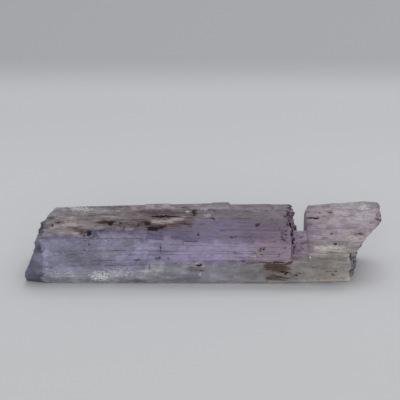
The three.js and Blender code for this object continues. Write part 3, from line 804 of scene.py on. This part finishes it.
class Wire:
    """A socket of the material being made. A sum, difference or product of it adds a Math node."""

    tree = None

    def __init__(self, socket):
        self.socket = socket

    @classmethod
    def node(cls, kind, inputs=None, out=0, stops=None, **settings):
        """Adds a node: its settings and a ramp's stops first, then its sockets' values or links."""
        made = cls.tree.nodes.new("ShaderNode" + kind)
        for key, value in settings.items():
            setattr(made, key, value)
        if stops:
            ramp = made.color_ramp.elements
            while len(ramp) < len(stops):
                ramp.new(1.0)
            for element, (place, colour) in zip(ramp, stops):
                element.position, element.color = place, (*colour, 1)
        for key, value in (inputs or {}).items():
            if isinstance(value, Wire):
                cls.tree.links.new(value.socket, made.inputs[key])
            else:
                made.inputs[key].default_value = value
        return None if out is None else cls(made.outputs[out])

    def math(self, operation, other):
        """A Math node on this value and another one or a number."""
        return Wire.node("Math", {0: self, 1: other}, operation=operation)

    def __add__(self, other):
        return self.math("ADD", other)

    __radd__ = __add__

    def __mul__(self, other):
        return self.math("MULTIPLY", other)

    __rmul__ = __mul__

    def __sub__(self, other):
        return self.math("SUBTRACT", other)

    def __rsub__(self, other):
        return Wire.node("Math", {0: other, 1: self}, operation="SUBTRACT")

    def clamp(self, low=0.0, high=1.0):
        """Kept between low and high."""
        return Wire.node("Clamp", {0: self, 1: low, 2: high})

    def step(self, low, high):
        """0 below low and 1 above high, eased between."""
        return Wire.node("MapRange", {0: self, 1: low, 2: high}, interpolation_type="SMOOTHSTEP")


def mix(factor, first, second):
    """Two colours mixed by a factor. The node's colour sockets are 6 and 7, and its output 2."""
    return Wire.node("Mix", {0: factor, 6: first, 7: second}, out=2, data_type="RGBA")


def lit(colour, factor):
    """A colour made lighter or darker by a factor."""
    colour = colour if isinstance(colour, Wire) else colour[:3]
    return Wire.node("VectorMath", {0: colour, "Scale": factor}, operation="SCALE")


def rgb(red, green, blue):
    """A colour with its alpha."""
    return (red, green, blue, 1.0)


def new_material(name):
    """An empty material, which the nodes made from now on go into."""
    made = bpy.data.materials.new(name)
    made.use_nodes = True
    Wire.tree = made.node_tree
    Wire.tree.nodes.clear()
    return made


HALF_LENGTH = 40  # of the stretch that a colour ramp covers
SPODUMENE_IOR = 1.66
gem = new_material("kunzite")
place = Wire.node("TexCoord", out="Object")


def streaks(along, across, detail=4.0, roughness=0.6):
    """Noise drawn out along the crystal: its lumps are along by across millimetres."""
    size = (MM_PER_METRE / along, MM_PER_METRE / across, MM_PER_METRE / across)
    at = Wire.node("Mapping", {"Vector": place, "Scale": size}, vector_type="POINT")
    return Wire.node("TexNoise", {"Vector": at, "Scale": 1.0, "Detail": detail, "Roughness": roughness})


def kept(name):
    """A number kept for each point of the mesh."""
    return Wire.node("Attribute", out="Fac", attribute_name=name)


# Noises of several grains, and parts of the crystal.
along = Wire.node("SeparateXYZ", {0: place}, out="X") * MM_PER_METRE
fine = streaks(2.6, 0.22)
coarse = streaks(8.0, 1.0)
cloud = streaks(4.0, 2.2, detail=6.0)
mottle = streaks(0.7, 0.3, detail=3.0)
veil = streaks(1.5, 0.17, detail=2.0)
grain = streaks(0.3, 0.3, detail=1.0)
knob = streaks(0.7, 0.6, detail=3.0, roughness=0.65)
dash = streaks(1.3, 0.14, detail=1.0)
up_facing = kept("around").step(2.9, 3.1)
broken, chipped, mauve = kept("broken"), kept("chip"), kept("mauve")
right_part = along.step(18, 26)
drift = (along + HALF_LENGTH) * (1 / (2 * HALF_LENGTH)) + (cloud - 0.5) * 0.04


def along_colour(*stops):
    """A colour that changes along the crystal: each stop is x in millimetres and a colour."""
    stops = [((at + HALF_LENGTH) / (2 * HALF_LENGTH), colour) for at, *colour in stops]
    return Wire.node("ValToRGB", {0: drift}, stops=stops)


# The colours of the front, the mauve band, the film, the crest and the foot.
lilac = along_colour(
    (-39, 0.395, 0.375, 0.555), (-27, 0.295, 0.285, 0.41), (-17, 0.41, 0.38, 0.58),
    (-6, 0.365, 0.31, 0.5), (2, 0.49, 0.38, 0.655), (9, 0.485, 0.37, 0.6), (14, 0.385, 0.25, 0.345),
    (20, 0.43, 0.3, 0.405), (25, 0.6, 0.52, 0.52),
)
violet = along_colour(
    (-36, 0.37, 0.33, 0.43), (-27, 0.27, 0.26, 0.39), (-15, 0.3, 0.26, 0.41), (-5, 0.28, 0.215, 0.37),
    (3, 0.42, 0.315, 0.545), (10, 0.36, 0.245, 0.415), (16, 0.42, 0.265, 0.42), (20, 0.46, 0.335, 0.48),
    (25, 0.53, 0.425, 0.505), (36, 0.67, 0.56, 0.61),
)
film = along_colour(
    (-36, 0.57, 0.52, 0.59), (-33.5, 0.85, 0.74, 0.74), (-26, 0.6, 0.505, 0.51),
    (-15, 0.43, 0.34, 0.35), (-10, 0.31, 0.23, 0.245), (3, 0.46, 0.35, 0.445), (10, 0.37, 0.275, 0.36),
    (18, 0.5, 0.38, 0.49), (26, 0.67, 0.56, 0.605), (40, 0.71, 0.62, 0.68),
)
crest = along_colour(
    (-33, 0.72, 0.68, 0.72), (-24, 0.95, 0.88, 0.92), (-15, 0.82, 0.71, 0.75), (5, 0.62, 0.54, 0.61),
    (18, 0.53, 0.46, 0.52), (26, 0.64, 0.57, 0.6),
)
# The foot's own greyer colour, painted lighter for the floor's light shining up through it.
foot_glass_and_light = along_colour(
    (-36, 0.66, 0.66, 0.73), (-22, 0.71, 0.71, 0.73), (-10, 0.64, 0.635, 0.69), (4, 0.505, 0.48, 0.54),
    (12, 0.475, 0.455, 0.445), (22, 0.49, 0.47, 0.43), (27, 0.41, 0.36, 0.32), (34, 0.8, 0.75, 0.7),
)
colour = mix(kept("lilac"), foot_glass_and_light, lilac)
colour = mix(mauve, colour, violet)
colour = mix(kept("film"), colour, film)
colour = mix(kept("crest"), colour, crest)

# Panes, streaks and grains shade the colour. Painted shade darkens the faces that look up,
# against the light from above, and painted light lifts the faces towards the floor.
foot_facing = 1 - kept("around").step(0.9, 1.2)
middle_part = along.step(-12, -5) - right_part
liveliness = 0.35 + kept("lilac") * 0.5 + up_facing * 0.1 - right_part * 0.25 - middle_part * 0.45
shade = kept("pane") - 0.5 + (fine - 0.5) * (up_facing * 0.2 + 0.15) + (coarse - 0.5) * 0.35
shade = shade + (kept("streak") - 0.5) * 0.15 + (mottle - 0.5) * 0.7 + (grain - 0.5) * 0.6
shade = shade * liveliness + kept("tone") + 1
# Painted light for the faces towards the floor, painted shade for the faces that look up.
painted_foot_light = along.step(-1, 6) * 0.42 + right_part * 0.35 - 0.11
painted_face_light = 1.01 - up_facing * (0.46 - right_part * 0.22) + foot_facing * painted_foot_light
colour = lit(colour, (shade * painted_face_light).clamp(0.3, 1.8))

# Pale veils, partly painted highlights along the striae, and dark dashes are drawn out along
# the crystal.
pale = veil.step(0.6, 0.7) * (right_part * 0.2 + 0.2)
colour = mix(pale, colour, rgb(0.7, 0.68, 0.75))
dark = dash.step(0.62, 0.7) * (right_part * 0.25 + 0.3 - middle_part * 0.2)
colour = mix(dark, colour, rgb(0.12, 0.085, 0.13))

# The breaks have their own colours, and painted light and shade make them lighter and darker
# from block to block.
# At the slot's left wall the breaks are painted lighter, painted light in its shade, and at the left
# end darker, painted shade seen into the clear crystal.
bare = along_colour(
    (-37, 0.17, 0.165, 0.225), (10, 0.3, 0.24, 0.32), (18, 0.85, 0.66, 0.85), (24, 0.36, 0.29, 0.38),
    (32, 0.4, 0.37, 0.38), (39, 0.44, 0.34, 0.41),
)
bare = mix(kept("deep") * 0.5, bare, rgb(0.33, 0.22, 0.42))
# Mottle, the breaks' painted light and shade and the inner tones set how light the breaks are.
break_painted_light = (mottle - 0.5) * 1.2 + kept("painted_break_shading") * 0.7 + kept("lilac") * 0.2 + kept("tone") + 0.8
colour = mix(broken * 0.9, colour, lit(bare, break_painted_light.clamp(0.2, 1.9)))

# Marks are broken up by noise: into streaks along the crystal, blots, glints or knobs.
streaky = ((fine - 0.5) * 3.5 + (mottle - 0.5) * 1.5 + 0.5).clamp()
blotchy = ((mottle - 0.5) * 3.5 + (fine - 0.5) * 1.5 + 0.5).clamp()
glinting = ((grain - 0.5) * 3.0 + (mottle - 0.5) * 2.0 + 0.45).clamp()


def broken_up(name, noise, soft=0.3, gain=1.2):
    """How much of a mark shows: noise breaks it up, and more so the weaker the mark is."""
    return (kept(name) * gain + noise - 1).step(0, soft)


clay_and_highlight = broken_up("clay_and_highlight", streaky, 0.6)
frost_and_glint = broken_up("frost_and_glint", glinting)
brown = broken_up("brown", streaky, 0.45)
black = broken_up("black", blotchy, gain=1.7)
specks = broken_up("speckled", ((knob - 0.5) * 4.0 + 0.5).clamp(), gain=1.1)

# Rust, clay and its painted highlights, frost and its painted glints, and dark mineral each tint
# their place, then cover it where they show.
colour = mix(kept("brown").step(0, 0.8) * 0.45, colour, rgb(0.14, 0.085, 0.082))
rust = mix(along.step(-5, 12), rgb(0.074, 0.037, 0.034), rgb(0.08, 0.043, 0.03))
colour = mix(brown * 0.92, colour, lit(rust, (mottle - 0.5) * 2.5 + 1))
colour = mix(kept("clay_and_highlight").step(0, 0.8) * 0.35, colour, rgb(0.36, 0.3, 0.27))
colour = mix(clay_and_highlight * 0.7, colour, lit(rgb(0.55, 0.48, 0.45), (grain - 0.5) * 1.2 + 1))
colour = mix(kept("frost_and_glint").step(0, 0.9) * 0.4, colour, rgb(0.5, 0.5, 0.5))
colour = mix(frost_and_glint * 0.5, colour, rgb(0.78, 0.78, 0.78))
colour = mix((black + specks * 0.85).clamp(), colour, rgb(0.022, 0.012, 0.013))

# The skin is clear where it is least cloudy, and cloudy where it is frosted, veiled or marked.
cloudiness = (cloud - 0.5) * 0.8 + (kept("pane") - 0.5) * 0.35 + up_facing * 0.2 + right_part * 0.15
cloudiness = cloudiness + broken * 0.3 - kept("deep") * 0.2 + 0.42
cloudiness = (cloudiness.clamp(0.1, 0.85) + clay_and_highlight + frost_and_glint + brown + black + specks).clamp(0, 0.97)
relief = fine * 0.6 + coarse * 0.5 + grain * (broken + chipped + frost_and_glint).clamp() * 1.5
bump = Wire.node("Bump", {"Height": relief, "Strength": 0.35, "Distance": 0.00012})


def spodumene(tint, roughness, share, amount):
    """The mineral's own shader, with an amount of one more share, such as transmission."""
    sockets = {"Base Color": tint, "Roughness": roughness, "IOR": SPODUMENE_IOR, "Normal": bump}
    return Wire.node("BsdfPrincipled", {**sockets, share: amount})


cloudy_roughness = (0.42 + broken * 0.2 + clay_and_highlight * 0.3).clamp()
clear_roughness = (fine * 0.4 + broken * 0.3).clamp(0.08, 0.6)
cloudy = spodumene(colour, cloudy_roughness, "Specular IOR Level", 0.02)
clear = spodumene(mix(0.15, colour, rgb(0.8, 0.8, 0.8)), clear_roughness, "Transmission Weight", 1.0)
skin = Wire.node("MixShader", {0: cloudiness, 1: clear, 2: cloudy})
depth_tint = Wire.node("VolumeAbsorption", {"Color": rgb(0.6, 0.5, 0.8), "Density": 60.0})
Wire.node("OutputMaterial", {"Surface": skin, "Volume": depth_tint}, out=None)
mesh.materials.append(gem)

# ---- Table, light and camera ----
# The crystal lies on a pale sheet of paper. It is painted greyer far behind, painted shade for a
# backdrop in less light, and a little darker at the front, painted shadow. A broad softbox hangs
# over and behind the crystal and a fill light stands before it, in a pale room.

TABLE_HALF, TABLE_DROP = 3, 5e-5
# The paper's tone and painted shades from the front to the back: from where to where each takes
# over, in metres.
PAPER_FRONT_SHADE = rgb(0.732, 0.732, 0.736)
PAPER_TONES_AND_SHADES = [
    (-0.06, 0.02, rgb(0.757, 0.763, 0.78)),
    (0.05, 0.11, rgb(0.72, 0.731, 0.747)),
    (0.12, 0.16, rgb(0.537, 0.547, 0.566)),
]
square = [(-1, -1), (1, -1), (1, 1), (-1, 1)]
table_mesh = bpy.data.meshes.new("table")
table_points = [(TABLE_HALF * to_x, TABLE_HALF * to_y, -TABLE_DROP) for to_x, to_y in square]
table_mesh.from_pydata(table_points, [], [(0, 1, 2, 3)])
table = new_object("table", table_mesh)
paper = new_material("paper")
away = Wire.node("SeparateXYZ", {0: Wire.node("TexCoord", out="Object")}, out="Y")
# The paper's colour, with painted shade towards the back and painted shadow at the front.
sheet = PAPER_FRONT_SHADE
for begins, full, tone in PAPER_TONES_AND_SHADES:
    sheet = mix(away.step(begins, full), sheet, tone)
paper_skin = Wire.node("BsdfPrincipled", {"Base Color": sheet, "Roughness": 0.9})
Wire.node("OutputMaterial", {"Surface": paper_skin}, out=None)
table_mesh.materials.append(paper)

world = bpy.data.worlds.new("studio")
world.use_nodes = True
room = world.node_tree.nodes["Background"].inputs
room["Color"].default_value, room["Strength"].default_value = rgb(0.95, 0.97, 1.0), 0.45
bpy.context.scene.world = world

# Each lamp: its power, where it is, and how far it is tilted from pointing down.
LAMP_WIDTH, LAMP_DEPTH = 0.6, 0.4
for name, energy, at, tilt in (
    ("softbox", 1.45, (0.18, 0.34, 0.73), -0.44),
    ("fill", 1.72, (-0.02, -0.7, 0.3), 1.15),
):
    lamp_data = bpy.data.lights.new(name, "AREA")
    lamp_data.shape, lamp_data.energy = "RECTANGLE", energy
    lamp_data.size, lamp_data.size_y = LAMP_WIDTH, LAMP_DEPTH
    lamp = new_object(name, lamp_data)
    lamp.location, lamp.rotation_euler = at, (tilt, 0, 0)

# How far the camera is from the point it aims at, and how high that lies over the origin. In
# pixels its focal length, the width of the frame, and the column and row where the point lies.
CAMERA_DISTANCE, AIM_HEIGHT = 0.315, 0.007
SENSOR = 36.0
FOCAL, FRAME = 1400.0, 400
AIM_COLUMN, AIM_ROW = 205.2, 241.3
camera_data = bpy.data.cameras.new("camera")
camera_data.sensor_width = SENSOR
camera_data.lens = FOCAL / FRAME * SENSOR
camera_data.clip_start, camera_data.clip_end = 0.01, 20
camera = new_object("camera", camera_data)
aside, lower = [np.arctan((pixel - FRAME / 2) / FOCAL) for pixel in (AIM_COLUMN, AIM_ROW)]
back, up = turned(CAMERA_DISTANCE, 0, VIEW_ELEVATION)
camera.location = (0, -back, AIM_HEIGHT + up)
camera.rotation_euler = (np.pi / 2 - VIEW_ELEVATION + lower, 0, aside)
bpy.context.scene.camera = camera
bpy.context.scene.view_settings.view_transform = "Standard"
